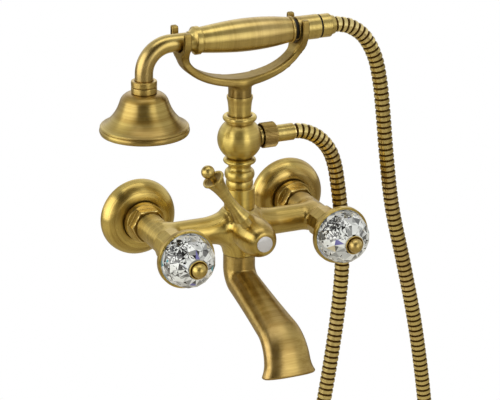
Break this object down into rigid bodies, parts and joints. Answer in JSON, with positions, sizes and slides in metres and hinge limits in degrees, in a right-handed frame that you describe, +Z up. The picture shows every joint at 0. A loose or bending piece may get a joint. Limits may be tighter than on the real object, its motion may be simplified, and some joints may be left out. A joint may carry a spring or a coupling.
{
  "type": "bath shower mixer",
  "caption": "Wall-mounted antique-brass bath shower mixer with cut-crystal handles, lever diverter, swan spout and a telephone-style handset in a forked cradle on a ribbed hose.",
  "frame": {"origin": "on the wall plane, midway between the hot and cold inlet axes and level with the mixer's valve axes", "axes": "+X from the hot inlet to the cold inlet, +Y into the wall, +Z up"},
  "size_m": [0.3535, 0.202, 0.7385],
  "materials": {
    "brass": "brushed antique brass with bronzed shadows",
    "polished_brass": "polished antique brass",
    "dark_brass": "machined brass, darkened",
    "hose": "ribbed metal hose, bronzed in the grooves",
    "crystal": "clear cut crystal",
    "white": "glazed pale white",
    "rubber": "black rubber and fibre seals",
    "steel": "plain stainless steel"
  },
  "bodies": {
    "fixture": {"hot_union": "dark_brass", "hot_escutcheon": "brass", "hot_union_nut": "polished_brass", "hot_inlet_washer": "rubber", "hot_headwork": "dark_brass", "hot_headwork_washer": "rubber", "hot_shroud": "brass", "cold_union": "dark_brass", "cold_escutcheon": "brass", "cold_union_nut": "polished_brass", "cold_inlet_washer": "rubber", "cold_headwork": "dark_brass", "cold_headwork_washer": "rubber", "cold_shroud": "brass", "mixer_body": "brass", "diverter_cartridge": "steel", "spout_nipple": "dark_brass", "spout_seal": "rubber", "spout": "brass", "flow_straightener": "dark_brass", "column_seal": "rubber", "column": "brass", "outlet_nipple": "dark_brass", "hose_nut": "polished_brass", "hose_washer": "rubber", "hose_ferrule": "polished_brass", "hose": "hose", "cradle": "brass", "cradle_screw": "steel"},
    "hot_handle": {"hot_spindle": "dark_brass", "hot_cup": "brass", "hot_crystal": "crystal", "hot_finial": "polished_brass"},
    "cold_handle": {"cold_spindle": "dark_brass", "cold_cup": "brass", "cold_crystal": "crystal", "cold_finial": "polished_brass"},
    "diverter": {"diverter_spindle": "dark_brass", "diverter_hub": "brass", "hub_screw": "steel", "index_button": "white", "lever": "brass", "lever_ball": "brass"},
    "handset": {"bell": "brass", "spray_plate": "dark_brass", "bell_nut": "brass", "bell_ring": "brass", "elbow": "brass", "grip_collar": "brass", "grip_tube": "dark_brass", "grip": "brass", "grip_ring": "rubber", "connector": "brass", "handset_washer": "rubber", "hose_cone": "brass"}
  },
  "joints": [
    {"name": "hot_handle_turn", "type": "hinge", "parent": "fixture", "child": "hot_handle", "pos_m": [-0.075, -0.1, 0], "axis": [0, -1, 0], "range_deg": [0, 90]},
    {"name": "cold_handle_turn", "type": "hinge", "parent": "fixture", "child": "cold_handle", "pos_m": [0.075, -0.1, 0], "axis": [0, 1, 0], "range_deg": [0, 90]},
    {"name": "diverter_turn", "type": "hinge", "parent": "fixture", "child": "diverter", "pos_m": [0, -0.1, 0.0025], "axis": [0, 1, 0], "range_deg": [0, 69]},
    {"name": "handset_lift", "type": "slide", "parent": "fixture", "child": "handset", "axis": [0, 0, 1], "range_m": [0, 0.04], "deforming": ["hose"]}
  ]
}
